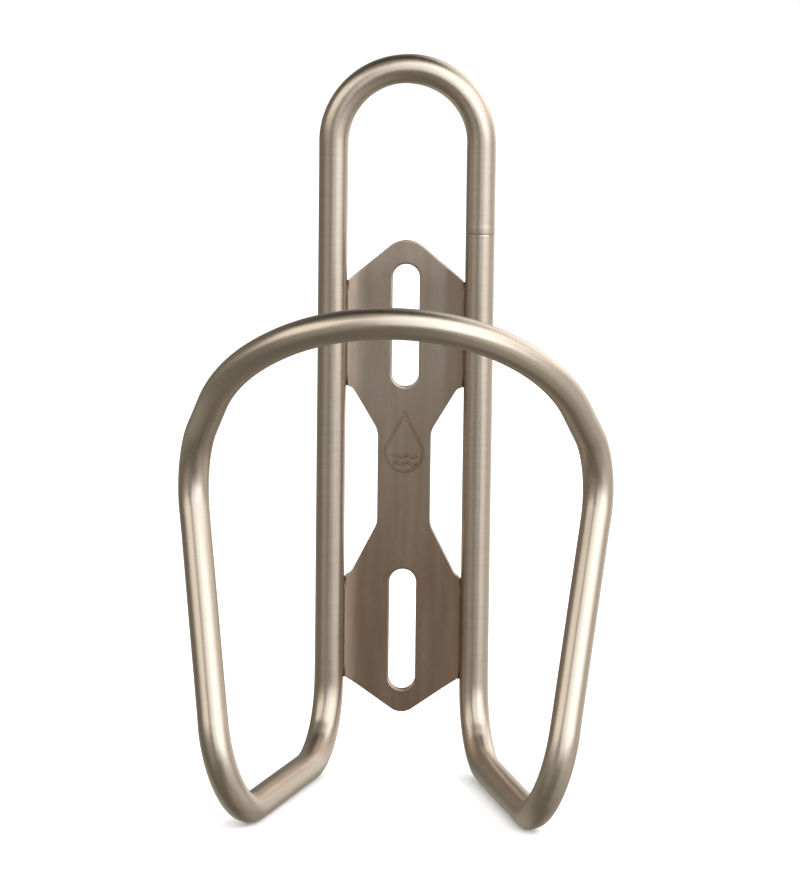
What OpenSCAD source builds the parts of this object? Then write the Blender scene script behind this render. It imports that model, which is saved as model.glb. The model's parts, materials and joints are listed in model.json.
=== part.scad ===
// Water bottle cage: one tube bent into a closed loop and welded to a slotted
// back plate. The two rails run down both sides of the plate, turn forward
// under the bottle as the base, rise as the arms and meet in the front hoop.
//
// Frame: +Z is up, +X is to the right, -Y faces the bottle and +Y faces the
// bicycle. The origin is midway between the bolt slots, on the back face of
// the plate, where the cage rests on the bicycle frame.

/* [Tube] */
// Outside diameter of the tube
tube_od = 6; // [5.6:0.1:6.4]
// Wall thickness of the tube
tube_wall = 0.5; // [0.4:0.1:0.8]
// Height of the butt joint, on the right-hand rail
joint_z = 51.5; // [44:0.5:56]
// Gap left between the two ends of the tube
joint_gap = 0.2; // [0.1:0.05:0.5]
// Length of the sleeve inside the butt joint
spigot_length = 16; // [10:1:24]

/* [Rails and base] */
// Distance between the centrelines of the two rails
rail_spacing = 30.4; // [29.6:0.2:31.2]
// Height of the centre of the top loop
top_loop_z = 70; // [64:1:84]
// Height of the centreline of the base
base_z = -58.2; // [-64.2:0.5:-56.2]
// Bend radius between each rail and the base
base_bend = 15.5; // [12:0.5:20]

/* [Arms and front hoop] */
// Half-width at the foot, where the base turns up into an arm
foot_x = 31.6; // [28:0.2:36]
// Forward reach of the foot
foot_reach = 74; // [68:0.5:80]
// Bend radius at the foot
foot_bend = 14; // [10:0.5:18]
// Half-width at the side corner, where an arm turns into the hoop
side_x = 41; // [40.6:0.2:43]
// Forward reach of the side corner
side_reach = 43; // [40:0.5:46]
// Height of the side corner
side_z = 9.7; // [6.7:0.5:12.7]
// Bend radius at the side corner
side_bend = 14; // [8:0.5:18]
// Half-width where the hoop starts to wrap around the bottle
shoulder_x = 31.8; // [31.6:0.1:33]
// Forward reach of that point
shoulder_reach = 66.4; // [65.8:0.1:67.2]
// Height of that point
shoulder_z = 30.5; // [29:0.5:31.5]
// Bend radius of the hoop's flanks
shoulder_bend = 42; // [30:0.5:43]
// Forward reach of the front corner of the hoop
front_reach = 87.8; // [87:0.1:90]
// Height of the front corner of the hoop
front_z = 48; // [47:0.5:51]
// Bend radius at the front of the hoop
front_bend = 33.5; // [28:0.5:34]

/* [Plate] */
// Thickness of the plate
plate_t = 2; // [1.6:0.1:2.2]
// Half-width of the flat pad, where the edges start to curl forward
pad_x = 8.2; // [7.6:0.1:8.6]
// Radius of the curl, on the side that faces the bottle
curl_r = 8; // [7:0.5:9]
// Height at which the two top edges would meet without the rounding
upper_peak_z = 51.3; // [50.3:0.1:53.3]
// Angle of the top edges below horizontal
upper_slope = 39.7; // [34:0.1:44]
// Radius of the upper tip
upper_tip_r = 5.5; // [3:0.5:7]
// Height at which the two bottom edges would meet without the rounding
lower_peak_z = -50.4; // [-52.4:0.1:-49.4]
// Angle of the bottom edges above horizontal
lower_slope = 35; // [30:0.5:40]
// Radius of the lower tip
lower_tip_r = 3.8; // [2:0.2:6]
// Height of the lower edge of the upper lobe, at the rails
upper_shoulder_z = 19.4; // [18:0.2:20.4]
// Height of the upper edge of the lower lobe, at the rails
lower_shoulder_z = -20.6; // [-21.6:0.2:-19.2]
// Half-width at the inner end of each shoulder
plate_shoulder_x = 11.1; // [10.5:0.1:11.4]
// Half-width of the waist
waist_x = 5.5; // [5:0.1:6]
// Height of the upper end of the waist
waist_top_z = 10; // [7:0.5:12]
// Height of the lower end of the waist
waist_bottom_z = -9.7; // [-12.2:0.5:-6.7]

/* [Bolt slots] */
// Distance between the centres of the slots
bolt_spacing = 64; // [62:0.5:66]
// Width of each slot
slot_w = 5.6; // [5.2:0.1:6]
// Overall length of each slot
slot_l = 25.6; // [20:0.2:26.4]

/* [Welds] */
// Root gap between the plate and each rail, filled by the weld
root_gap = 0.5; // [0.4:0.1:0.8]
// Radius of the smooth fillet on the side that faces the bottle
fillet_r = 2; // [1.8:0.1:2.4]
// Radius of the raised bead on the back
bead_r = 1.5; // [1.3:0.1:1.6]
// Length of weld past each end of the plate's edge
weld_runout = 0.4; // [0:0.1:1]

/* [Emblem] */
// Height of the centre of the water drop
drop_z = 5.4; // [4.4:0.2:7.4]
// Radius of the round part of the water drop
drop_r = 3.9; // [3.2:0.1:4.2]
// Distance from the centre of the round part to the tip
drop_tip = 8.4; // [7:0.2:9.4]
// Width of the engraved lines
line_w = 0.6; // [0.4:0.1:0.8]
// Depth of the engraved lines
line_depth = 0.25; // [0.1:0.05:0.4]

/* [Hidden] */
$fn = 64;

tube_r = tube_od / 2;
bore_r = tube_r - tube_wall;
rail_x = rail_spacing / 2;
rail_y = -tube_r;
rail = [rail_x, rail_y];
plate_edge_x = rail_x - tube_r - root_gap;
curl = [pad_x, -plate_t - curl_r];

// Bending draws the tube down slightly: loss of radius in the bends, and the
// angle by which each bend laps into the straight runs
thinning = 0.01;
lap = 0.2;

// Angle of the curl at each edge of the plate, long enough to end inside the rail
curl_angle = 40;
// Radii of the concave corners at the lobes' shoulders and at the waist
shoulder_r = 2;
waist_r = 5;
// Straight pieces in each half of a rounded corner
arc_steps = 6;
// Straight pieces in the round part of the water drop
drop_steps = 32;
// Raised bead on the back of each weld: shift towards the plate, and height
bead_inset = 0.3;
bead_height = 1.05;
// Waves of the emblem: arc radius, chord of one arc, and spacing
wave_r = 0.9;
wave_pitch = 1.2;
wave_gap = 1.5;
wave_drop = sqrt(wave_r * wave_r - wave_pitch * wave_pitch / 4);

// Corners of the right half of the centreline, where its straight runs would
// meet, from the end of the top loop to the front of the hoop. The last point
// is the mirror image of the one before the front corner.
corners = [
    [rail_x, rail_y, top_loop_z],
    [rail_x, rail_y, base_z],
    [foot_x, -foot_reach, base_z],
    [side_x, -side_reach, side_z],
    [shoulder_x, -shoulder_reach, shoulder_z],
    [0, -front_reach, front_z],
    [-shoulder_x, -shoulder_reach, shoulder_z]
];
radii = [0, base_bend, foot_bend, side_bend, shoulder_bend, front_bend];
front = len(radii) - 1;

// Direction of the straight run that ends at corner i
function heading(i) = let (run = corners[i] - corners[i - 1]) run / norm(run);
// Angle through which the tube turns at corner i
function turn(i) = acos(heading(i) * heading(i + 1));
// Distance from corner i back to where its bend starts
function setback(i) = i == 0 ? 0 : radii[i] * tan(turn(i) / 2);
// Straight length left between the bends at corners i - 1 and i
function run_length(i) = norm(corners[i] - corners[i - 1]) - setback(i - 1) - setback(i);
// Unit vector from the start of bend i towards the centre of the bend
function inward(i) = let (v = heading(i + 1) - heading(i) * cos(turn(i))) v / norm(v);

// Matrix that moves local X, Y and the origin to the given directions and point
function placed(x, y, o) = let (z = cross(x, y)) [
    [x.x, y.x, z.x, o.x],
    [x.y, y.y, z.y, o.y],
    [x.z, y.z, z.z, o.z],
    [0, 0, 0, 1]
];

// Point where two circles cross, on the right of the line from a to b
function crossing(a, ra, b, rb) =
    let (
        line = b - a,
        d = norm(line),
        along = (d * d + ra * ra - rb * rb) / (2 * d),
        side = sqrt(ra * ra - along * along),
        u = line / d
    ) a + u * along + [u.y, -u.x] * side;

// Points of a corner at p, rounded to radius r, between its neighbours a and b
function rounded(a, p, b, r) =
    let (
        u = (a - p) / norm(a - p),
        v = (b - p) / norm(b - p),
        half = acos(u * v) / 2,
        middle = (u + v) / norm(u + v),
        centre = p + middle * r / sin(half),
        facing = atan2(-middle.y, -middle.x),
        sweep = (90 - half) * sign(cross(u, v))
    ) [
        for (k = [-1 : 1 / arc_steps : 1])
            centre + r * [cos(facing - k * sweep), sin(facing - k * sweep)]
    ];

// Corners of the right half of the plate's outline as x, z and radius, from top
// to bottom. The plate is drawn out to the centre of the rail, then cut back.
right_edge = [
    [rail_x, upper_peak_z - rail_x * tan(upper_slope), 0],
    [rail_x, upper_shoulder_z, 0],
    [plate_shoulder_x, upper_shoulder_z, shoulder_r],
    [waist_x, waist_top_z, waist_r],
    [waist_x, waist_bottom_z, waist_r],
    [plate_shoulder_x, lower_shoulder_z, shoulder_r],
    [rail_x, lower_shoulder_z, 0],
    [rail_x, lower_peak_z + rail_x * tan(lower_slope), 0]
];
left_edge = [for (i = [len(right_edge) - 1 : -1 : 0]) let (c = right_edge[i]) [-c.x, c.y, c.z]];
outline = concat(
    [[0, upper_peak_z, upper_tip_r]], right_edge,
    [[0, lower_peak_z, lower_tip_r]], left_edge
);

// Round rod along the straight run that ends at corner i
module run(i, r) {
    end = corners[i] - heading(i) * setback(i);
    multmatrix(placed(-inward(i), heading(i), end))
        rotate([90, 0, 0]) cylinder(h = run_length(i), r = r);
}

// Round rod around an arc from the X axis, lapping into the runs at its ends
module arc(bend_radius, angle, r) {
    rotate_extrude(start = -lap, angle = angle + 2 * lap)
        translate([bend_radius, 0]) circle(r - thinning);
}

// Round rod around the bend at corner i
module bend(i, r) {
    start = corners[i] - heading(i) * setback(i);
    multmatrix(placed(-inward(i), heading(i), start + inward(i) * radii[i]))
        arc(radii[i], turn(i), r);
}

// Round rod along the whole centreline, as one closed loop
module loop_rod(r) {
    for (side = [0, 1]) mirror([side, 0, 0]) {
        for (i = [1 : front]) run(i, r);
        for (i = [1 : front - 1]) bend(i, r);
    }
    bend(front, r);
    translate([0, rail_y, top_loop_z]) rotate([90, 0, 0]) arc(rail_x, 180, r);
}

// Tube bent into a loop, cut through at the butt joint
module formed_tube() {
    color("#b9ab96") difference() {
        loop_rod(tube_r);
        loop_rod(bore_r);
        translate([rail_x, rail_y, joint_z - joint_gap / 2])
            cylinder(h = joint_gap, r = tube_r + 1);
    }
}

// Sleeve inside the tube that lines up its two ends
module joint_spigot() {
    color("#8c8478") translate([rail_x, rail_y, joint_z - spigot_length / 2])
        difference() {
            cylinder(h = spigot_length, r = bore_r);
            translate([0, 0, -1]) cylinder(h = spigot_length + 2, r = bore_r - tube_wall);
        }
}

// Cross-section of the plate in plan: a flat pad with its edges curled forward
module plate_section() {
    translate([-pad_x, -plate_t]) square([2 * pad_x, plate_t]);
    for (side = [0, 1]) mirror([side, 0]) translate(curl)
        intersection() {
            difference() {
                circle(curl_r + plate_t);
                circle(curl_r);
            }
            polygon([[0, 0], [0, 2 * curl_r], 2 * curl_r * [sin(curl_angle), cos(curl_angle)]]);
        }
}

// Plate as pressed, before it is trimmed to its outline
module pressed_strip() {
    translate([0, 0, lower_peak_z]) linear_extrude(upper_peak_z - lower_peak_z) plate_section();
}

// Shape drawn in x and z, driven through the plate from front to back
module through_plate(depth) {
    translate([0, -plate_t + depth, 0]) rotate([90, 0, 0])
        linear_extrude(depth + curl_r) children();
}

// Outline of the plate
module plate_outline() {
    last = len(outline) - 1;
    polygon([
        for (i = [0 : last])
            let (
                c = outline[i],
                before = outline[i == 0 ? last : i - 1],
                after = outline[i == last ? 0 : i + 1]
            )
            each c.z == 0 ? [[c.x, c.y]]
                : rounded([before.x, before.y], [c.x, c.y], [after.x, after.y], c.z)
    ]);
}

// Slot with round ends, centred at height z
module bolt_slot(z) {
    half = (slot_l - slot_w) / 2;
    translate([0, 1, z]) rotate([90, 0, 0]) {
        for (end = [-half, half]) translate([0, end, 0]) cylinder(h = plate_t + 2, d = slot_w);
        translate([-slot_w / 2, -half, 0]) cube([slot_w, 2 * half, plate_t + 2]);
    }
}

// Water drop with its round part of radius r
module drop(r) {
    tilt = asin(drop_r / drop_tip);
    round_part = [for (k = [0 : drop_steps]) tilt - k * (180 + 2 * tilt) / drop_steps];
    polygon([[0, r / sin(tilt)], for (at = round_part) r * [cos(at), sin(at)]]);
}

// Row of four flat arcs, alternately up and down
module wave() {
    for (i = [0 : 3]) translate([(i - 1.5) * wave_pitch, 0]) mirror([0, i % 2])
        intersection() {
            translate([0, -wave_drop]) difference() {
                circle(wave_r + line_w / 2);
                circle(wave_r - line_w / 2);
            }
            translate([-wave_pitch / 2, -line_w]) square([wave_pitch, 3 * line_w]);
        }
}

// Emblem: a water drop with two waves in it
module emblem() {
    translate([0, drop_z]) {
        difference() {
            drop(drop_r + line_w / 2);
            drop(drop_r - line_w / 2);
        }
        for (z = [-wave_gap / 2, -3 * wave_gap / 2]) translate([0, z]) wave();
    }
}

// Slotted plate that bolts to the bicycle frame
module back_plate() {
    color("#8e8070") difference() {
        intersection() {
            pressed_strip();
            through_plate(2 * plate_t) plate_outline();
        }
        for (side = [-1, 1]) {
            bolt_slot(side * bolt_spacing / 2);
            translate([side * rail_x, rail_y, lower_peak_z])
                cylinder(h = upper_peak_z - lower_peak_z, r = tube_r + root_gap);
        }
        through_plate(line_depth) emblem();
    }
}

// Round bar of height h on a point of the plan
module post(at, h, r) {
    translate([at.x, at.y, 0]) cylinder(h = h, r = r);
}

// Right-hand weld between two heights: it fills the root gap, blends into the
// front of the plate and stands slightly proud of the groove behind
module weld(low, high) {
    h = high - low + 2 * weld_runout;
    fillet = crossing(rail, tube_r + fillet_r, curl, curl_r - fillet_r);
    on_rail = rail + (fillet - rail) * tube_r / (tube_r + fillet_r);
    on_plate = curl + (fillet - curl) * curl_r / (curl_r - fillet_r);
    groove = crossing(rail, tube_r, curl, curl_r + plate_t);
    color("#a3947e") translate([0, 0, low - weld_runout]) difference() {
        union() {
            intersection() {
                post(rail, h, tube_r + root_gap);
                linear_extrude(h) polygon([rail, 2 * on_rail - rail, 2 * groove - rail]);
            }
            linear_extrude(h) polygon([on_plate, rail, on_rail]);
            post(groove - [bead_inset, bead_r - bead_height], h, bead_r);
        }
        post(rail, h, tube_r);
        post(fillet, h, fillet_r);
        linear_extrude(h) difference() {
            plate_section();
            translate(rail) circle(tube_r + root_gap);
        }
    }
}

// Right-hand weld along the upper lobe
module upper_weld() {
    weld(upper_shoulder_z, upper_peak_z - plate_edge_x * tan(upper_slope));
}

// Right-hand weld along the lower lobe
module lower_weld() {
    weld(lower_peak_z + plate_edge_x * tan(lower_slope), lower_shoulder_z);
}

module weld_upper_left() { mirror([1, 0, 0]) upper_weld(); }
module weld_upper_right() { upper_weld(); }
module weld_lower_left() { mirror([1, 0, 0]) lower_weld(); }
module weld_lower_right() { lower_weld(); }

formed_tube();
joint_spigot();
back_plate();
weld_upper_left();
weld_upper_right();
weld_lower_left();
weld_lower_right();
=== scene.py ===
"""Looks of a water bottle cage: brushed metal tube bent into a loop and welded to a slotted plate.

Lengths in this script are millimetres until a mesh, light or camera is made from them.
"""
import bmesh
import bpy
import json
import math
import numpy as np
from mathutils import Matrix, Vector, geometry


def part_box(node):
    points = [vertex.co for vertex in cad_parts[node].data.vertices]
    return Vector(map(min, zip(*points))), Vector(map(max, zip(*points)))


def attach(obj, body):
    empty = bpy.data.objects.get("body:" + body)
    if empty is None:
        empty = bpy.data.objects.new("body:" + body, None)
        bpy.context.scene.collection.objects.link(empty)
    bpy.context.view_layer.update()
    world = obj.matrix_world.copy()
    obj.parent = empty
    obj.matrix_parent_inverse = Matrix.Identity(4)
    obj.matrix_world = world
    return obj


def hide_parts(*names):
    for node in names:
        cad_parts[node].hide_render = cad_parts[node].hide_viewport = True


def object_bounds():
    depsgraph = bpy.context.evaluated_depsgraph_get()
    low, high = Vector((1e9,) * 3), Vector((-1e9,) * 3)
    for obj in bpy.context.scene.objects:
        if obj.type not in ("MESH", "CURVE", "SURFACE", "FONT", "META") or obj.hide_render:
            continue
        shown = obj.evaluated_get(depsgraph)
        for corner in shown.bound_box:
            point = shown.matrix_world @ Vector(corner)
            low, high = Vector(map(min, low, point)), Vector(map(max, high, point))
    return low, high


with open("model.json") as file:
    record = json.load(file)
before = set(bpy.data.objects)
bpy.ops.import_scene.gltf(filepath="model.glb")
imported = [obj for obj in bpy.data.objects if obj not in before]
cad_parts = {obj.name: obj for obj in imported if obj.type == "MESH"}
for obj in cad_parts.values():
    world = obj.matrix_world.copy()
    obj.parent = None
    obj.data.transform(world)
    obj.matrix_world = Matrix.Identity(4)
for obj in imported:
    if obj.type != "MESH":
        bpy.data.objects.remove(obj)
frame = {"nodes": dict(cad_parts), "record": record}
cad_box = [list(corner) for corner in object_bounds()]

MM = 0.001
SEED = 7


def node_box(name):
    """Lowest and highest corner of a CAD node, in millimetres."""
    return [np.array(corner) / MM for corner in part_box(name)]


# ---------------------------------------------------------------- driving dimensions

tube_low, tube_high = node_box("formed_tube")
spigot_low, spigot_high = node_box("joint_spigot")
plate_low, plate_high = node_box("back_plate")

# The spigot fills the bore at the joint, so it gives the joint, the rail's axis and the bore
JOINT = (spigot_low + spigot_high) / 2
BORE_R = (spigot_high[0] - spigot_low[0]) / 2
RAIL_X = JOINT[0]
RAIL_Y = JOINT[1]
TUBE_R = -RAIL_Y
TOP_Z = tube_high[2] - TUBE_R
BASE_Z = tube_low[2] + TUBE_R
JOINT_GAP = 0.12
JOINT_CHAMFER = 0.03

# Corners of the right half of the tube's centreline and the bend radius at each
FOOT = [31.6, -74.0, BASE_Z]
SIDE = [41.0, -43.0, 9.7]
SHOULDER = [31.8, -66.4, 30.5]
FRONT = [0.0, -87.8, 48.0]
BASE_BEND = 15.5
FOOT_BEND = 14.0
SIDE_BEND = 14.0
SHOULDER_BEND = 42.0
FRONT_BEND = 33.5

# Points round the tube, and the distance between its rings on straights, near the joint and in bends
TUBE_COLUMNS = 54
STRAIGHT_STEP = 0.8
JOINT_STEP = 0.2
BEND_STEP = 0.6

# Marks that bending leaves: the section's flattening, and wrinkles with their height, length and reach
FLATTENING = 0.33
BEND_FADE = 3.0
WRINKLE_H = 0.07
WRINKLE_LENGTH = 4.6
WRINKLE_REACH = 5.5

# Marks of finishing: the dressed ring at the joint, the bending tool's flats and slight unevenness
RING_H = 0.025
TOOL_MARK = [39.0, -48.0, 1.0]
TOOL_MARK_DEPTH = 0.05
TOOL_MARK_SIZE = 2.2
UNEVENNESS = 0.006

# Plate: thickness, flat half-width, and curl of its edges towards the bottle
PLATE_T = 2.0
PAD_X = 8.2
CURL_R = 8.0
EDGE_X = RAIL_X - TUBE_R - 0.3

# Outline of the plate: each peak's height, side slope in degrees and rounding, then its other corners
UPPER_PEAK = [51.3, 39.7, 5.5]
LOWER_PEAK = [-50.4, 35.0, 3.8]
SHOULDERS = [19.4, -20.6]
SHOULDER_X = 11.1
SHOULDER_ROUND = 2.0
WAIST_X = 5.5
WAIST_ENDS = [10.0, -9.7]
WAIST_ROUND = 5.0
OUTLINE_STEP = 0.5

# Rounding of the plate's edges, and its mesh: a guard loop inside each edge, then a staggered grid
EDGE_ROUND = 0.12
SLOT_ROUND = 0.35
GUARD = 0.12
GRID_STEP = 0.8
GRID_GAP = 0.3

# Slots from the mount: the spacing of their centres, width and length
mount = next(m for m in frame["record"]["mounts"] if m["name"] == "frame_bolts")
SLOT_SPACING = mount["dims"]["spacing_y_mm"]
SLOT_W = 2 * mount["dims"]["hole_r_mm"]
SLOT_L = mount["dims"]["slot_length_mm"]

# Emblem: a water drop with two waves, engraved in the front of the plate
DROP_Z = 5.4
DROP_R = 3.9
DROP_TIP = 8.4
LINE_W = 0.6
LINE_DEPTH = 0.25
LINE_WALL = 0.15
WAVE_LENGTH = 4.8
WAVE_HEIGHT = 0.24
WAVE_GAP = 1.5

# Welds: the fillet in front, the bead behind and its angles, and how deep they sink into the rail
FILLET_R = 1.0
BEAD_R = 1.5
BEAD_OFFSET = [0.3, 0.45]
BEAD_ARC = [8, 172]
WELD_SINK = 0.15
WELD_TUCK = [[11.5, -1.7], [11.0, -2.3]]

# Along a weld: what is left off at its ends, the distance between its rings, and its ripples
WELD_TRIM_LOW = 0.4
WELD_TRIM_HIGH = 0.7
WELD_STEP = 0.14
RIPPLE_PITCH = 0.85
RIPPLE_DRIFT = 0.12
RIPPLE_H = 0.09
RIPPLE_BOW = 0.25

# Angles between faces, in degrees, from which an edge is shaded as a sharp one
TUBE_SHARP = 50
WELDED_SHARP = 35


# ---------------------------------------------------------------- helpers for shapes

def unit(v):
    """Vector or rows of vectors scaled to length 1."""
    v = np.asarray(v, float)
    return v / np.linalg.norm(v, axis=-1, keepdims=True)


def bell(x, width):
    """Smooth bump of height 1 around 0."""
    return np.exp(-(x / width) ** 2)


def ramp(x, low, high):
    """0 below low, 1 above high, and a smooth rise between them."""
    t = np.clip((x - low) / (high - low), 0, 1)
    return t * t * (3 - 2 * t)


def new_piece(name, verts, faces, material, replaced):
    """Smooth mesh object from points in millimetres, riding on the cage's one body."""
    mesh = bpy.data.meshes.new(name)
    mesh.from_pydata((np.asarray(verts) * MM).tolist(), [], [list(map(int, f)) for f in faces])
    mesh.validate()
    mesh.polygons.foreach_set("use_smooth", [True] * len(mesh.polygons))
    mesh.materials.append(material)
    mesh.update()
    piece = bpy.data.objects.new(name, mesh)
    bpy.context.scene.collection.objects.link(piece)
    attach(piece, "root")
    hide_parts(replaced)
    return piece


def weld_points(piece):
    """Joins points that coincide, makes neighbouring faces point the same way, marks sharp edges."""
    mesh = bmesh.new()
    mesh.from_mesh(piece.data)
    bmesh.ops.remove_doubles(mesh, verts=mesh.verts, dist=0.002 * MM)
    bmesh.ops.recalc_face_normals(mesh, faces=mesh.faces)
    mesh.to_mesh(piece.data)
    mesh.free()
    piece.data.set_sharp_from_angle(angle=math.radians(WELDED_SHARP))


def grid_faces(rows, columns, first=0):
    """Quads between rows of points, where each row is a closed ring."""
    i, j = np.meshgrid(np.arange(rows - 1), np.arange(columns), indexing="ij")
    a = first + i * columns + j
    b = first + i * columns + (j + 1) % columns
    return np.stack([a, b, b + columns, a + columns], -1).reshape(-1, 4)


# ---------------------------------------------------------------- the tube

def mirrored(point):
    """The same point on the left-hand side."""
    return [-point[0], point[1], point[2]]


def tube_corners():
    """Corners and bend radii of the whole centreline, from the joint's upper face to its lower one."""
    half = [([RAIL_X, RAIL_Y, TOP_Z], RAIL_X), ([RAIL_X, RAIL_Y, BASE_Z], BASE_BEND),
            (FOOT, FOOT_BEND), (SIDE, SIDE_BEND), (SHOULDER, SHOULDER_BEND)]
    left = [(mirrored(point), radius) for point, radius in half]
    upper_face = JOINT + [0, 0, JOINT_GAP / 2]
    lower_face = JOINT - [0, 0, JOINT_GAP / 2]
    return [(upper_face, 0), half[0], *left, (FRONT, FRONT_BEND), *half[:0:-1], (lower_face, 0)]


def centreline():
    """Points, headings and curvatures along the centreline, and the station at each corner."""
    corners = [(np.array(point, float), radius) for point, radius in tube_corners()]
    points, headings, curves, middles = [], [], [], []
    here = corners[0][0]
    for (a, _), (corner, radius), (b, _) in zip(corners, corners[1:], corners[2:]):
        u = unit(corner - a)
        v = unit(b - corner)
        angle = math.acos(u @ v)
        inward = unit(v - u * (u @ v))
        start = corner - u * radius * math.tan(angle / 2)
        centre = start + inward * radius
        add_run(here, start, u, points, headings, curves)
        t = np.linspace(0, angle, max(8, int(radius * angle / BEND_STEP)))[:, None]
        middles.append(len(points) + len(t) // 2)
        points.extend(centre + radius * (u * np.sin(t) - inward * np.cos(t)))
        headings.extend(u * np.cos(t) + inward * np.sin(t))
        curves.extend(np.repeat(inward[None] / radius, len(t), 0))
        here = points.pop()
        headings.pop()
        curves.pop()
    add_run(here, corners[-1][0], unit(corners[-1][0] - here), points, headings, curves)
    points.append(corners[-1][0])
    headings.append(headings[-1])
    curves.append(np.zeros(3))
    return np.array(points), np.array(headings), np.array(curves), middles


def add_run(start, end, heading, points, headings, curves):
    """Stations on a straight run, up to but not at its end, closer together near the joint."""
    length = np.linalg.norm(end - start)
    if length < 1e-6:
        return
    near = min(np.linalg.norm(start - JOINT), np.linalg.norm(end - JOINT)) < 1
    step = JOINT_STEP if near else STRAIGHT_STEP
    count = max(2, int(length / step))
    for t in np.linspace(0, 1, count, endpoint=False):
        points.append(start + (end - start) * t)
        headings.append(heading)
        curves.append(np.zeros(3))


def carried_frames(points, headings):
    """Two directions across the tube at each station, carried along without twisting."""
    across = [np.array([0.0, 1.0, 0.0])]
    # Two reflections carry the last direction over to the next station
    for k in range(len(points) - 1):
        step = points[k + 1] - points[k]
        c = step @ step
        n = across[-1] - step * (2 / c) * (step @ across[-1])
        t = headings[k] - step * (2 / c) * (step @ headings[k])
        v = headings[k + 1] - t
        if v @ v > 1e-18:
            n = n - v * (2 / (v @ v)) * (v @ n)
        across.append(unit(n - headings[k + 1] * (n @ headings[k + 1])))
    across = np.array(across)
    return across, np.cross(headings, across)


def smoothed(values, along, width):
    """Rows of values averaged along the tube with a bell-shaped weight."""
    weight = bell(along[:, None] - along[None], width)
    weight *= np.gradient(along)[None]
    return weight @ values / weight.sum(1, keepdims=True)


def tube_radius(points, along, curves, around, middles):
    """Outer radius at each station and direction, with the marks that bending and joining leave.

    around is the ring's unit directions, as rows by columns by 3.
    """
    bending = smoothed(curves, along, BEND_FADE)
    strength = np.linalg.norm(bending, axis=1)
    toward = bending / np.maximum(strength, 1e-9)[:, None]
    inside = np.einsum("rcx,rx->rc", around, toward)
    # Bending flattens the section in the plane of the bend
    radius = TUBE_R - TUBE_R * FLATTENING * strength[:, None] * (2 * inside ** 2 - 1)
    # Faint compression wrinkles on the inner side of the base bends and of the feet, left and right
    for corner in (middles[2], middles[3], middles[-2], middles[-1]):
        distance = along - along[corner]
        wave = np.cos(distance * 2 * math.pi / WRINKLE_LENGTH) * bell(distance, WRINKLE_REACH)
        radius += WRINKLE_H * wave[:, None] * ramp(inside, 0.3, 1.0)
    # Ring of weld just above the joint, dressed nearly flush
    radius += (RING_H * ramp(along, -0.4, 1.2) * (1 - ramp(along, 1.3, 2.0)))[:, None]
    # Small flats left by the bending tool, just below each side corner
    outer = points[:, None] + around * TUBE_R
    for mark in (TOOL_MARK, mirrored(TOOL_MARK)):
        distance = np.linalg.norm((outer - mark) * [1, 1, 0.6], axis=2)
        radius -= TOOL_MARK_DEPTH * bell(distance, TOOL_MARK_SIZE)
    # Slight unevenness from hand finishing
    turn = np.arctan2(around[..., 2] + around[..., 0], around[..., 1] + 0.3)
    drift = np.sin(along[:, None] / 4.3 + 2 * turn) + np.sin(along[:, None] / 7.9 - turn + 1.7)
    return radius + UNEVENNESS * drift


def tube_faces(skin_rows, bore_rows):
    """Faces of the tube's skin and bore, and of the flat ring that joins them at each end."""
    first = skin_rows * TUBE_COLUMNS
    skin = grid_faces(skin_rows, TUBE_COLUMNS)
    bore = grid_faces(bore_rows, TUBE_COLUMNS, first)[:, ::-1]
    last_outer = first - TUBE_COLUMNS
    last_inner = first + (bore_rows - 1) * TUBE_COLUMNS
    j = np.arange(TUBE_COLUMNS)
    k = (j + 1) % TUBE_COLUMNS
    start_ring = np.stack([j, first + j, first + k, k], -1)
    end_ring = np.stack([last_outer + j, last_outer + k, last_inner + k, last_inner + j], -1)
    return np.concatenate([skin, bore, start_ring, end_ring])


def make_tube(material):
    """The tube with its bore, cut through at the joint."""
    points, headings, curves, middles = centreline()
    along = np.concatenate([[0], np.cumsum(np.linalg.norm(np.diff(points, axis=0), axis=1))])
    n, b = carried_frames(points, headings)
    turn = np.linspace(0, 2 * math.pi, TUBE_COLUMNS, endpoint=False)
    around = n[:, None] * np.cos(turn)[None, :, None] + b[:, None] * np.sin(turn)[None, :, None]
    radius = tube_radius(points, along, curves, around, middles)
    for end in (0, -1):
        radius[end] = np.minimum(radius[end], TUBE_R - JOINT_CHAMFER)
    outer = points[:, None] + around * radius[..., None]
    # The bore is out of sight, so it has every third ring and the last one
    keep = np.unique([*range(0, len(points), 3), len(points) - 1])
    inner = points[keep, None] + around[keep] * BORE_R
    verts = np.concatenate([outer.reshape(-1, 3), inner.reshape(-1, 3)])
    faces = tube_faces(len(points), len(keep))
    tube = new_piece("tube", verts, faces, material, "formed_tube")
    tube.data.set_sharp_from_angle(angle=math.radians(TUBE_SHARP))
    # The brushing follows the tube unrolled into a straight one, and the UV map gives its direction
    stations = np.repeat(np.concatenate([along, along[keep]]), TUBE_COLUMNS)
    turns = np.tile(turn, len(points) + len(keep))
    radial = np.repeat([TUBE_R, BORE_R], [len(points) * TUBE_COLUMNS, len(keep) * TUBE_COLUMNS])
    add_vector(tube, "brush", np.stack([radial * np.cos(turns), radial * np.sin(turns), stations], -1))
    add_uv(tube, stations, turns)
    return tube


def add_vector(piece, name, values):
    """Vector attribute on the points of a mesh."""
    attribute = piece.data.attributes.new(name, "FLOAT_VECTOR", "POINT")
    attribute.data.foreach_set("vector", np.asarray(values, np.float32).ravel())


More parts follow.
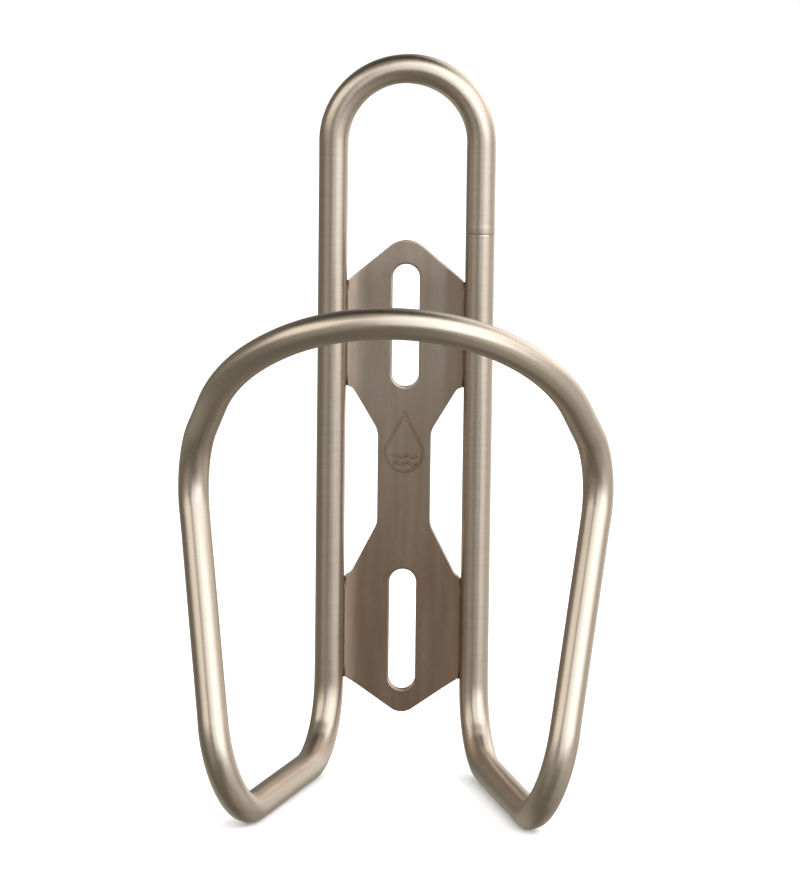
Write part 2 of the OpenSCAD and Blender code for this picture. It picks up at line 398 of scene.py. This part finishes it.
def add_uv(piece, stations, turns):
    """UV map in centimetres, with U along the tube and V around it, and no jump across the seam."""
    mesh = piece.data
    corner = np.zeros(len(mesh.loops), np.int32)
    mesh.loops.foreach_get("vertex_index", corner)
    u = stations[corner].reshape(-1, 4) / 10
    v = turns[corner].reshape(-1, 4)
    v = np.where((v.max(1, keepdims=True) - v) > math.pi, v + 2 * math.pi, v) * TUBE_R / 10
    layer = mesh.uv_layers.new(name="UVMap")
    layer.data.foreach_set("uv", np.stack([u, v], -1).astype(np.float32).ravel())


# ---------------------------------------------------------------- the back plate

def rounded_corner(a, p, b, radius):
    """Points of the arc that rounds the corner at p between its neighbours a and b."""
    u = unit(a - p)
    v = unit(b - p)
    half = math.acos(u @ v) / 2
    middle = unit(u + v)
    centre = p + middle * radius / math.sin(half)
    facing = math.atan2(-middle[1], -middle[0])
    sweep = (math.pi / 2 - half) * math.copysign(1, u[0] * v[1] - u[1] * v[0])
    steps = max(6, int(radius * abs(2 * sweep) / 0.25))
    angles = facing - np.linspace(-1, 1, steps) * sweep
    return centre + radius * np.stack([np.cos(angles), np.sin(angles)], -1)


def divided(loop, step):
    """Closed loop with points added so that no side is longer than step."""
    out = []
    for a, b in zip(loop, np.roll(loop, -1, 0)):
        count = max(1, math.ceil(np.linalg.norm(b - a) / step))
        out.extend(a + (b - a) * np.arange(count)[:, None] / count)
    return np.array(out)


def plate_outline():
    """Outline of the plate in x and z, drawn out to the rails and cut back to the welds."""
    def peak_side(peak):
        drop = RAIL_X * math.tan(math.radians(peak[1]))
        return peak[0] - math.copysign(drop, peak[0])

    right = [(RAIL_X, peak_side(UPPER_PEAK), 0), (RAIL_X, SHOULDERS[0], 0),
             (SHOULDER_X, SHOULDERS[0], SHOULDER_ROUND), (WAIST_X, WAIST_ENDS[0], WAIST_ROUND),
             (WAIST_X, WAIST_ENDS[1], WAIST_ROUND), (SHOULDER_X, SHOULDERS[1], SHOULDER_ROUND),
             (RAIL_X, SHOULDERS[1], 0), (RAIL_X, peak_side(LOWER_PEAK), 0)]
    left = [(-x, z, r) for x, z, r in reversed(right)]
    corners = [(0, UPPER_PEAK[0], UPPER_PEAK[2]), *right, (0, LOWER_PEAK[0], LOWER_PEAK[2]), *left]
    spots = np.array([corner[:2] for corner in corners], float)
    out = []
    for k, (x, z, r) in enumerate(corners):
        if r:
            out.extend(rounded_corner(spots[k - 1], spots[k], spots[(k + 1) % len(spots)], r))
        else:
            out.append(spots[k])
    kept = []
    for x, z in divided(np.array(out), OUTLINE_STEP):
        spot = np.array([np.clip(x, -EDGE_X, EDGE_X), z])
        if not kept or np.linalg.norm(spot - kept[-1]) > 0.6 * OUTLINE_STEP:
            kept.append(spot)
    return np.array(kept)


def slot_loop(height):
    """Outline of a slot with round ends."""
    r = SLOT_W / 2
    reach = SLOT_L / 2 - r
    t = np.linspace(0, math.pi, 25)
    top = np.stack([r * np.cos(t), height + reach + r * np.sin(t)], -1)
    bottom = np.stack([-r * np.cos(t), height - reach - r * np.sin(t)], -1)
    return divided(np.concatenate([top, bottom]), OUTLINE_STEP)


def drop_loop(r):
    """Outline of the water drop with its round part of radius r."""
    tilt = math.asin(DROP_R / DROP_TIP)
    t = np.linspace(tilt, -math.pi - tilt, 61)
    ring = np.stack([r * np.cos(t), DROP_Z + r * np.sin(t)], -1)
    tip = np.array([[0, DROP_Z + r / math.sin(tilt)]])
    return divided(np.concatenate([tip, ring]), 0.4)


def wave_loop(height, half_width):
    """Outline of a wavy line of two periods with round ends."""
    x = np.linspace(-WAVE_LENGTH / 2, WAVE_LENGTH / 2, 41)
    z = WAVE_HEIGHT * np.sin(x / WAVE_LENGTH * 4 * math.pi)
    slope = np.gradient(z, x)
    normal = unit(np.stack([-slope, np.ones_like(x)], -1))
    line = np.stack([x, DROP_Z + height + z], -1)
    ends = []
    for at, facing in ((line[-1], 0), (line[0], math.pi)):
        t = facing + np.linspace(math.pi / 2, -math.pi / 2, 9)[1:-1]
        ends.append(at + half_width * np.stack([np.cos(t), np.sin(t)], -1))
    return np.concatenate([line + normal * half_width, ends[0],
                           (line - normal * half_width)[::-1], ends[1]])


def shifted(loop, distance):
    """Loop moved sideways: to the left of its direction of travel where distance is positive."""
    before = unit(loop - np.roll(loop, 1, 0))
    after = unit(np.roll(loop, -1, 0) - loop)
    mean = unit(before + after)
    normal = np.stack([-mean[:, 1], mean[:, 0]], -1)
    stretch = 1 / np.clip(np.sum(mean * after, axis=1), 0.6, 1)
    return loop + normal * distance * stretch[:, None]


def anticlockwise(loop):
    """The loop, turned round if it runs clockwise."""
    x, z = loop.T
    area = np.sum(x * np.roll(z, -1) - np.roll(x, -1) * z)
    return loop if area > 0 else loop[::-1]


def holds(loop, spots):
    """Which of the spots lie inside the loop."""
    inside = np.zeros(len(spots), bool)
    for a, b in zip(loop, np.roll(loop, -1, 0)):
        if a[1] == b[1]:
            continue
        crosses = (a[1] > spots[:, 1]) != (b[1] > spots[:, 1])
        side_x = (b[0] - a[0]) * (spots[:, 1] - a[1]) / (b[1] - a[1]) + a[0]
        inside ^= crosses & (spots[:, 0] < side_x)
    return inside


def on_sheet(outer, holes, spots):
    """Which of the spots lie inside the outer loop and outside the holes."""
    inside = holds(outer, spots)
    for hole in holes:
        inside &= ~holds(hole, spots)
    return inside


def clear_of(loops, spots, gap):
    """Which of the spots are at least gap away from every loop point."""
    free = np.ones(len(spots), bool)
    for point in np.concatenate(loops):
        free &= np.sum((spots - point) ** 2, axis=1) > gap * gap
    return free


def curl(x, radius):
    """Y of a face of the plate at each x: flat in the middle, then curling forward."""
    reach = np.clip(np.abs(x) - PAD_X, 0, None)
    return -PLATE_T - CURL_R + np.sqrt(radius ** 2 - reach ** 2)


def filled(loops, depths, outer, holes, fill):
    """Triangles between loops of the plate: spots in x and z, their depth and the triangles."""
    spots = np.concatenate([*loops, fill])
    depth = np.repeat([*depths, 0.0], [*map(len, loops), len(fill)])
    edges = []
    first = 0
    for loop in loops:
        k = np.arange(len(loop))
        edges.extend(zip((first + k).tolist(), (first + (k + 1) % len(loop)).tolist()))
        first += len(loop)
    result = geometry.delaunay_2d_cdt([Vector(s) for s in spots.tolist()], edges, [], 0, 1e-6)
    where = np.array([tuple(v) for v in result[0]])
    source = np.array([origins[0] for origins in result[3]])
    triangles = np.array(result[2])
    middle = where[triangles].mean(1)
    return where, depth[source], triangles[on_sheet(outer, holes, middle)]


def grid_spots(loops, outer, holes):
    """Staggered grid of spots on the plate, clear of its loops."""
    x = np.arange(plate_low[0], plate_high[0], GRID_STEP)
    z = np.arange(plate_low[2], plate_high[2], GRID_STEP * 0.87)
    gx, gz = np.meshgrid(x, z)
    gx[1::2] += GRID_STEP / 2
    spots = np.stack([gx.ravel(), gz.ravel()], -1)
    spots = spots[on_sheet(outer, holes, spots)]
    return spots[clear_of(loops, spots, GRID_GAP)]


def engraved_loops():
    """Loops of the emblem as pairs: the edge at the surface, and the groove's floor beside it."""
    half = LINE_W / 2
    outer = anticlockwise(drop_loop(DROP_R + half))
    inner = anticlockwise(drop_loop(DROP_R - half))
    pairs = [(outer, shifted(outer, LINE_WALL)), (inner, shifted(inner, -LINE_WALL))]
    for height in (-0.5 * WAVE_GAP, -1.5 * WAVE_GAP):
        pairs.append((anticlockwise(wave_loop(height, half)),
                      anticlockwise(wave_loop(height, half - LINE_WALL))))
    return pairs


def plate_face(outline, slots, radius, engraved):
    """One face of the plate, drawn in from the edges by their rounding."""
    outer = shifted(outline, EDGE_ROUND)
    holes = [shifted(slot, -SLOT_ROUND) for slot in slots]
    guards = [shifted(outline, EDGE_ROUND + GUARD),
              *(shifted(slot, -SLOT_ROUND - GUARD) for slot in slots)]
    loops = [outer, *holes, *guards]
    depths = [0.0] * len(loops)
    if engraved:
        for edge, floor in engraved_loops():
            loops += [edge, floor]
            depths += [0.0, LINE_DEPTH]
    fill = grid_spots(loops, guards[0], holes)
    where, depth, triangles = filled(loops, depths, outer, holes, fill)
    y = curl(where[:, 0], radius)
    return np.stack([where[:, 0], y + depth, where[:, 1]], -1), triangles


def plate_edge(loop, inward, rounding):
    """Wall round a loop of the plate, from the front face to the back, with rounded edges."""
    rows = []
    bend = np.linspace(math.pi / 2, 0, 5)
    for radius, way, turns in ((CURL_R, 1, bend), (CURL_R + PLATE_T, -1, bend[::-1])):
        for t in turns:
            path = shifted(loop, inward * rounding * (1 - math.cos(t)))
            y = curl(path[:, 0], radius) + way * rounding * (1 - math.sin(t))
            rows.append(np.stack([path[:, 0], y, path[:, 1]], -1))
    return np.array(rows)


def joined(parts):
    """Points and faces of several pairs of points and faces, as one mesh."""
    faces = []
    first = 0
    for points, shapes in parts:
        faces.extend((shapes + first).tolist())
        first += len(points)
    return np.concatenate([points for points, _ in parts]), faces


def make_plate(material):
    """The back plate, with its slots, rounded edges and engraved emblem."""
    outline = anticlockwise(plate_outline())
    slots = [anticlockwise(slot_loop(side * SLOT_SPACING / 2)) for side in (-1, 1)]
    front, front_faces = plate_face(outline, slots, CURL_R, True)
    back, back_faces = plate_face(outline, slots, CURL_R + PLATE_T, False)
    parts = [(front, front_faces), (back, back_faces[:, ::-1])]
    for loop, inward, rounding in ((outline, 1, EDGE_ROUND), *((slot, -1, SLOT_ROUND) for slot in slots)):
        rows = plate_edge(loop, inward, rounding)
        quads = grid_faces(len(rows), len(loop))
        parts.append((rows.reshape(-1, 3), quads[:, ::-inward]))
    verts, faces = joined(parts)
    plate = new_piece("plate", verts, faces, material, "back_plate")
    weld_points(plate)
    return plate


# ---------------------------------------------------------------- the welds

def weld_profile():
    """Section of the right-hand weld in plan, how far each point is out on the bead, and its middle."""
    rail = np.array([RAIL_X, RAIL_Y])
    curl_centre = np.array([PAD_X, -PLATE_T - CURL_R])
    fillet = circles_cross(rail, TUBE_R + FILLET_R, curl_centre, CURL_R - FILLET_R)
    groove = circles_cross(rail, TUBE_R, curl_centre, CURL_R + PLATE_T)
    on_rail = rail + (fillet - rail) * TUBE_R / (TUBE_R + FILLET_R)
    on_plate = curl_centre + (fillet - curl_centre) * CURL_R / (CURL_R - FILLET_R)
    front = arc_between(fillet, on_plate, on_rail, 12)
    # Through the rail's wall, from the fillet's edge to where the bead starts
    sunk = TUBE_R - WELD_SINK
    start = rail + unit(on_rail - rail) * sunk
    end = rail + unit(groove + [0.6, 0.4] - rail) * sunk
    inside = arc_between(rail, start, end, 8)
    bead = groove - BEAD_OFFSET
    t = np.linspace(*np.radians(BEAD_ARC), 15)
    back = bead + BEAD_R * np.stack([np.cos(t), np.sin(t)], -1)
    profile = np.concatenate([front, inside, back, WELD_TUCK])
    on_back = np.zeros(len(profile))
    first = len(front) + len(inside)
    on_back[first:first + len(back)] = np.sin(t)
    return profile, on_back, bead


def circles_cross(a, ra, b, rb):
    """Where two circles cross, on the right of the line from a to b."""
    line = b - a
    d = np.linalg.norm(line)
    along = (d * d + ra * ra - rb * rb) / (2 * d)
    side = math.sqrt(ra * ra - along * along)
    u = line / d
    return a + u * along + np.array([u[1], -u[0]]) * side


def arc_between(centre, start, end, count):
    """Points of the shorter arc from start to end round a centre."""
    a = math.atan2(*(start - centre)[::-1])
    b = math.atan2(*(end - centre)[::-1])
    turn = (b - a + math.pi) % (2 * math.pi) - math.pi
    t = a + turn * np.linspace(0, 1, count)
    radius = np.linalg.norm(start - centre)
    return centre + radius * np.stack([np.cos(t), np.sin(t)], -1)


def bead_waves(z, generator):
    """Ripples of a bead at each height, with an uneven beat, and its slower swelling."""
    wander = np.cumsum(generator.normal(0, 1, len(z))) * WELD_STEP
    beat = z / RIPPLE_PITCH + RIPPLE_DRIFT * wander
    ripple = np.abs(np.sin(math.pi * beat)) ** 0.7 - 0.6
    slow = 0.04 * np.sin(z / 2.3 + generator.uniform(0, 6))
    quick = 0.03 * np.sin(z / 0.9 + generator.uniform(0, 6))
    return ripple, slow + quick


def make_weld(node, side, material, generator):
    """One weld: a smooth fillet in front and a rippled bead behind, both fading out at the ends."""
    low, high = node_box(node)
    profile, on_back, root = weld_profile()
    bottom = low[2] + WELD_TRIM_LOW
    top = high[2] - WELD_TRIM_HIGH
    z = np.linspace(bottom, top, int((top - bottom) / WELD_STEP))
    # The bead ends round, over about a millimetre, and the fillet narrows slowly
    from_end = np.minimum(z - bottom, top - z)
    bead_size = 0.35 + 0.65 * np.sqrt(np.clip(1 - (1 - np.clip(from_end / 1.1, 0, 1)) ** 2, 0.02, 1))
    fillet_size = 0.8 + 0.2 * ramp(from_end, 0, 3.0)
    ripple, swell = bead_waves(z, generator)
    rows = []
    for height, behind, before, wave, lump in zip(z, bead_size, fillet_size, ripple, swell):
        size = (1 + on_back * (RIPPLE_H * wave + lump)) * (before + on_back * (behind - before))
        ring = root + (profile - root) * size[:, None]
        bow = on_back * RIPPLE_BOW * wave
        rows.append(np.stack([side * ring[:, 0], ring[:, 1], height - bow], -1))
    count = len(profile)
    caps = [list(range(count)), list(range((len(rows) - 1) * count, len(rows) * count))[::-1]]
    faces = grid_faces(len(rows), count).tolist() + caps
    name = node.replace("weld_", "bead_")
    piece = new_piece(name, np.concatenate(rows), faces, material, node)
    weld_points(piece)
    return piece


# ---------------------------------------------------------------- materials

def start_material(name):
    """Node material with only a metallic shader; gives the material, its node tree and the shader."""
    material = bpy.data.materials.new(name)
    material.use_nodes = True
    tree = material.node_tree
    tree.nodes.clear()
    output = tree.nodes.new("ShaderNodeOutputMaterial")
    shader = tree.nodes.new("ShaderNodeBsdfPrincipled")
    shader.inputs["Metallic"].default_value = 1.0
    tree.links.new(shader.outputs["BSDF"], output.inputs["Surface"])
    return material, tree, shader


def noise(tree, vector, scale, stretch=(1, 1, 1), detail=3.0, rough=0.5):
    """Noise texture on a vector that is stretched first; gives the 0 to 1 output."""
    mapping = tree.nodes.new("ShaderNodeMapping")
    mapping.inputs["Scale"].default_value = stretch
    tree.links.new(vector, mapping.inputs["Vector"])
    texture = tree.nodes.new("ShaderNodeTexNoise")
    texture.inputs["Scale"].default_value = scale
    texture.inputs["Detail"].default_value = detail
    texture.inputs["Roughness"].default_value = rough
    tree.links.new(mapping.outputs["Vector"], texture.inputs["Vector"])
    return texture.outputs["Fac"]


def spread(tree, value, low, high, start=0.3, end=0.7):
    """Maps a 0 to 1 value to a range."""
    node = tree.nodes.new("ShaderNodeMapRange")
    node.inputs["From Min"].default_value = start
    node.inputs["From Max"].default_value = end
    node.inputs["To Min"].default_value = low
    node.inputs["To Max"].default_value = high
    tree.links.new(value, node.inputs["Value"])
    return node.outputs["Result"]


def mixed(tree, share, a, b):
    """Colour between a and b, which are colours or sockets."""
    node = tree.nodes.new("ShaderNodeMix")
    node.data_type = "RGBA"
    # A mix node has sockets for each data type, and these are the ones for colours
    for socket, value in ((node.inputs[6], a), (node.inputs[7], b)):
        if isinstance(value, tuple):
            socket.default_value = (*value, 1)
        else:
            tree.links.new(value, socket)
    tree.links.new(share, node.inputs[0])
    return node.outputs[2]


def added(tree, values):
    """Sum of several sockets."""
    total = values[0]
    for value in values[1:]:
        node = tree.nodes.new("ShaderNodeMath")
        node.operation = "ADD"
        tree.links.new(total, node.inputs[0])
        tree.links.new(value, node.inputs[1])
        total = node.outputs["Value"]
    return total


def bumped(tree, heights, shader):
    """Feeds the sum of (height, distance in mm) pairs to the shader's normal."""
    normal = None
    for height, distance in heights:
        bump = tree.nodes.new("ShaderNodeBump")
        bump.inputs["Strength"].default_value = 1.0
        bump.inputs["Distance"].default_value = distance * MM
        tree.links.new(height, bump.inputs["Height"])
        if normal:
            tree.links.new(normal, bump.inputs["Normal"])
        normal = bump.outputs["Normal"]
    tree.links.new(normal, shader.inputs["Normal"])


def attribute(tree, name):
    """Vector attribute of the mesh."""
    node = tree.nodes.new("ShaderNodeAttribute")
    node.attribute_name = name
    return node.outputs["Vector"]


def place(tree):
    """Position on the object, in metres."""
    return tree.nodes.new("ShaderNodeTexCoord").outputs["Object"]


# Colours of the metals: two to mix for each, and for the plate a painted warm reflection at its bottom
# and painted shade at its sides
METAL = (0.60, 0.52, 0.435)
METAL_DEEP = (0.54, 0.46, 0.38)
SHEET = (0.56, 0.48, 0.405)
SHEET_DEEP = (0.49, 0.405, 0.335)
SHEET_PAINTED_REFLECTION = (0.37, 0.235, 0.155)
SHEET_PAINTED_SHADE = (0.34, 0.26, 0.2)
WELD = (0.46, 0.385, 0.315)
WELD_DEEP = (0.39, 0.32, 0.26)
SLEEVE = (0.42, 0.37, 0.3)
SLEEVE_DEEP = (0.3, 0.26, 0.21)

# Noise scale that turns metres on the object into millimetres
PER_METRE = 1000


def tube_metal():
    """Brushed metal with fine lines round the tube."""
    material, tree, shader = start_material("tube_brushed_metal")
    brush = attribute(tree, "brush")
    lines = noise(tree, brush, 1.0, (0.12, 0.12, 5.0), 2, 0.5)
    broad = noise(tree, brush, 1.0, (0.12, 0.12, 0.15), 2)
    grain = noise(tree, brush, 6.0, (1, 1, 1), 2)
    tone = mixed(tree, spread(tree, lines, 0.1, 1), METAL_DEEP, METAL)
    tone = mixed(tree, spread(tree, broad, 0, 0.3), tone, METAL_DEEP)
    tree.links.new(tone, shader.inputs["Base Color"])
    tree.links.new(spread(tree, lines, 0.31, 0.36), shader.inputs["Roughness"])
    shader.inputs["Anisotropic"].default_value = 0.5
    tangent = tree.nodes.new("ShaderNodeTangent")
    tangent.direction_type = "UV_MAP"
    tangent.uv_map = "UVMap"
    tree.links.new(tangent.outputs["Tangent"], shader.inputs["Tangent"])
    bumped(tree, [(lines, 0.0008), (grain, 0.0004)], shader)
    return material


def plate_metal():
    """Rolled sheet with fine upright streaks, with a painted warm reflection on its lower lobe and
    painted shade beside the welds.
    """
    material, tree, shader = start_material("plate_satin_metal")
    spot = place(tree)
    grain = noise(tree, spot, PER_METRE, (4, 4, 0.6), 3, 0.6)
    broad = noise(tree, spot, PER_METRE, (0.4, 0.4, 0.04), 2)
    tone = mixed(tree, spread(tree, grain, 0, 1), SHEET_DEEP, SHEET)
    tone = mixed(tree, spread(tree, broad, 0, 0.5), tone, SHEET_DEEP)
    side, low = painted_shade_and_reflection(tree, spot, broad)
    # Painted warm reflection of the surroundings, stronger towards the bottom of the plate
    tone = mixed(tree, low, tone, SHEET_PAINTED_REFLECTION)
    # Painted shade on the curled side edges, beside the rails and welds
    tone = mixed(tree, side, tone, SHEET_PAINTED_SHADE)
    tree.links.new(tone, shader.inputs["Base Color"])
    tree.links.new(spread(tree, grain, 0.28, 0.34), shader.inputs["Roughness"])
    bumped(tree, [(grain, 0.0009)], shader)
    return material


def painted_shade_and_reflection(tree, spot, streak):
    """How much painted shade darkens the sheet towards its side edges, and how much painted warm
    reflection covers it, unevenly, towards its bottom.
    """
    parts = tree.nodes.new("ShaderNodeSeparateXYZ")
    tree.links.new(spot, parts.inputs["Vector"])
    away = tree.nodes.new("ShaderNodeMath")
    away.operation = "ABSOLUTE"
    tree.links.new(parts.outputs["X"], away.inputs[0])
    # Painted shade: darker over the last few millimetres towards each rail
    side = spread(tree, away.outputs["Value"], 0, 0.75, 7.2 * MM, 12.5 * MM)
    # Painted warm reflection: grows towards the bottom and is broken into streaks by the noise
    low = spread(tree, parts.outputs["Z"], 0.7, 0.1, -22 * MM, 22 * MM)
    return side, added(tree, [low, spread(tree, streak, -0.2, 0.2)])


def weld_metal():
    """Weld metal: the same alloy, darker from the heat, with a very fine grain."""
    material, tree, shader = start_material("weld_bead_metal")
    grain = noise(tree, place(tree), PER_METRE, (2, 2, 2), 3)
    tone = mixed(tree, spread(tree, grain, 0, 1), WELD_DEEP, WELD)
    tree.links.new(tone, shader.inputs["Base Color"])
    tree.links.new(spread(tree, grain, 0.3, 0.36), shader.inputs["Roughness"])
    bumped(tree, [(grain, 0.0012)], shader)
    return material


def sleeve_metal():
    """Darker drawn tube of the sleeve inside the joint."""
    material, tree, shader = start_material("sleeve_drawn_metal")
    streak = noise(tree, place(tree), PER_METRE, (3, 3, 0.2), 3)
    tone = mixed(tree, spread(tree, streak, 0, 1), SLEEVE_DEEP, SLEEVE)
    tree.links.new(tone, shader.inputs["Base Color"])
    tree.links.new(spread(tree, streak, 0.3, 0.45), shader.inputs["Roughness"])
    return material


# ---------------------------------------------------------------- studio

SOFTBOX_DISTANCE = 1300

# What the camera, the floor and other matt surfaces see around the object, and the two colours
# of what the metal reflects, dim and bright
PLAIN_WHITE = 1.15
ROOM_DIM = (1.06, 1.0, 0.86)
ROOM_BRIGHT = (1.02, 1.0, 0.94)

# Soft patches of light that the metal reflects: azimuth, elevation, the angles where the patch
# ends and where it is full, all in degrees, and its strength
PATCHES = [
    (0, -90, 150, 92, 0.18),
    (48, -8, 30, 6, 0.45),
    (95, -10, 36, 10, 0.4),
    (60, -45, 40, 10, 0.25),
    (135, -25, 50, 15, 0.25),
    (150, 10, 35, 8, 0.8),
    (-140, -35, 35, 10, 0.3),
    (-38, -4, 34, 10, 0.2),
    (-30, 58, 38, 12, 0.3),
    (-110, 30, 40, 15, 0.1),
    (180, 30, 45, 15, 0.12),
]

# Camera: the point it looks at, its distance from there, its direction and roll in degrees, its lens
CAMERA_TARGET = (0.56, -40.0, 12.47)
CAMERA_DISTANCE = 798.7
CAMERA_AZIMUTH = 2.16
CAMERA_ELEVATION = 8.18
CAMERA_ROLL = -0.69
CAMERA_LENS = 162.7


def from_direction(azimuth, elevation, distance):
    """Point at a direction and distance from the origin: azimuth 0 is in front, 90 on the right."""
    a = math.radians(azimuth)
    e = math.radians(elevation)
    return distance * np.array([math.sin(a) * math.cos(e), -math.cos(a) * math.cos(e), math.sin(e)])


def softbox(name, azimuth, elevation, half_width, half_height, radiance, colour):
    """Rectangular area light that faces the object.

    Its size is given as half-angles seen from the object, and its strength as its face's radiance.
    """
    light = bpy.data.lights.new(name, "AREA")
    light.shape = "RECTANGLE"
    light.size = 2 * SOFTBOX_DISTANCE * math.tan(math.radians(half_width)) * MM
    light.size_y = 2 * SOFTBOX_DISTANCE * math.tan(math.radians(half_height)) * MM
    light.energy = radiance * math.pi * light.size * light.size_y
    light.color = colour
    holder = bpy.data.objects.new(name, light)
    spot = Vector(from_direction(azimuth, elevation, SOFTBOX_DISTANCE)) * MM
    holder.location = spot
    holder.rotation_mode = "QUATERNION"
    holder.rotation_quaternion = (-spot).to_track_quat("-Z", "Y")
    bpy.context.scene.collection.objects.link(holder)


def make_lights():
    """Five softboxes: two in front on the right, and one behind, one on the left and one high up."""
    softbox("key_core", 43, 26, 20, 24, 0.9, (0.93, 1.0, 1.06))
    softbox("key_wide", 38, 30, 45, 31, 1.5, (0.95, 1.0, 1.05))
    softbox("back_fill", 122, 38, 34, 24, 1.2, (1.0, 0.98, 0.95))
    softbox("left_fill", -60, 30, 25, 17, 1.5, (1.0, 0.98, 0.94))
    softbox("top_fill", 28, 60, 22, 12, 0.9, (1.0, 0.95, 0.87))


def lobe(tree, direction, azimuth, elevation, outer, inner, strength):
    """Soft round patch of light: full within the inner angle and gone beyond the outer one."""
    dot = tree.nodes.new("ShaderNodeVectorMath")
    dot.operation = "DOT_PRODUCT"
    dot.inputs[1].default_value = from_direction(azimuth, elevation, 1)
    tree.links.new(direction, dot.inputs[0])
    limits = [math.cos(math.radians(angle)) for angle in (outer, inner)]
    value = spread(tree, dot.outputs["Value"], 0, strength, *limits)
    value.node.interpolation_type = "SMOOTHSTEP"
    return value


def make_world():
    """Studio surroundings: plain white, but a dim warm room with soft patches in reflections."""
    world = bpy.data.worlds.new("studio")
    world.use_nodes = True
    tree = world.node_tree
    tree.nodes.clear()
    output = tree.nodes.new("ShaderNodeOutputWorld")
    room = tree.nodes.new("ShaderNodeBackground")
    plain = tree.nodes.new("ShaderNodeBackground")
    choose = tree.nodes.new("ShaderNodeMixShader")
    rays = tree.nodes.new("ShaderNodeLightPath")
    direction = tree.nodes.new("ShaderNodeTexCoord").outputs["Generated"]
    light = added(tree, [lobe(tree, direction, *patch) for patch in PATCHES])
    tone = mixed(tree, spread(tree, light, 0, 1, 0.2, 1.0), ROOM_DIM, ROOM_BRIGHT)
    tree.links.new(tone, room.inputs["Color"])
    tree.links.new(light, room.inputs["Strength"])
    world.cycles.sampling_method = "NONE"
    plain.inputs["Color"].default_value = (1, 1, 1, 1)
    plain.inputs["Strength"].default_value = PLAIN_WHITE
    tree.links.new(rays.outputs["Is Glossy Ray"], choose.inputs["Fac"])
    tree.links.new(plain.outputs["Background"], choose.inputs[1])
    tree.links.new(room.outputs["Background"], choose.inputs[2])
    tree.links.new(choose.outputs["Shader"], output.inputs["Surface"])
    bpy.context.scene.world = world


def make_floor():
    """Plain pale floor under the feet. The metal reflects the room's lower half, not the floor."""
    reach = 9000 * MM
    height = cad_box[0][2]
    mesh = bpy.data.meshes.new("floor")
    mesh.from_pydata([(-reach, -reach, height), (reach, -reach, height),
                      (reach, reach, height), (-reach, reach, height)], [], [(0, 1, 2, 3)])
    floor = bpy.data.objects.new("floor", mesh)
    material = bpy.data.materials.new("floor_paper")
    material.use_nodes = True
    shader = material.node_tree.nodes["Principled BSDF"]
    shader.inputs["Base Color"].default_value = (0.93, 0.93, 0.93, 1)
    shader.inputs["Roughness"].default_value = 1.0
    shader.inputs["Specular IOR Level"].default_value = 0.0
    mesh.materials.append(material)
    floor.visible_glossy = False
    bpy.context.scene.collection.objects.link(floor)


def make_camera():
    """Camera in front of the cage, slightly above it, as in a product picture."""
    azimuth = math.radians(CAMERA_AZIMUTH)
    roll = math.radians(CAMERA_ROLL)
    back = Vector(from_direction(CAMERA_AZIMUTH, CAMERA_ELEVATION, 1))
    level = Vector((math.cos(azimuth), math.sin(azimuth), 0))
    rise = back.cross(level)
    right = level * math.cos(roll) - rise * math.sin(roll)
    up = level * math.sin(roll) + rise * math.cos(roll)
    data = bpy.data.cameras.new("camera")
    data.sensor_width = 36
    data.lens = CAMERA_LENS
    data.clip_start = 0.01
    data.clip_end = 50
    camera = bpy.data.objects.new("camera", data)
    turn = Matrix((right, up, back)).transposed()
    spot = (Vector(CAMERA_TARGET) + back * CAMERA_DISTANCE) * MM
    camera.matrix_world = Matrix.Translation(spot) @ turn.to_4x4()
    bpy.context.scene.collection.objects.link(camera)
    bpy.context.scene.camera = camera


# ---------------------------------------------------------------- build

generator = np.random.default_rng(SEED)
bpy.context.scene.view_settings.view_transform = "Standard"

make_camera()
make_lights()
make_world()
make_floor()
make_tube(tube_metal())
make_plate(plate_metal())
bead_metal = weld_metal()
for lobe_name in ("upper", "lower"):
    for side_name, side in (("left", -1), ("right", 1)):
        make_weld(f"weld_{lobe_name}_{side_name}", side, bead_metal, generator)
sleeve = frame["nodes"]["joint_spigot"].data
sleeve.materials.clear()
sleeve.materials.append(sleeve_metal())
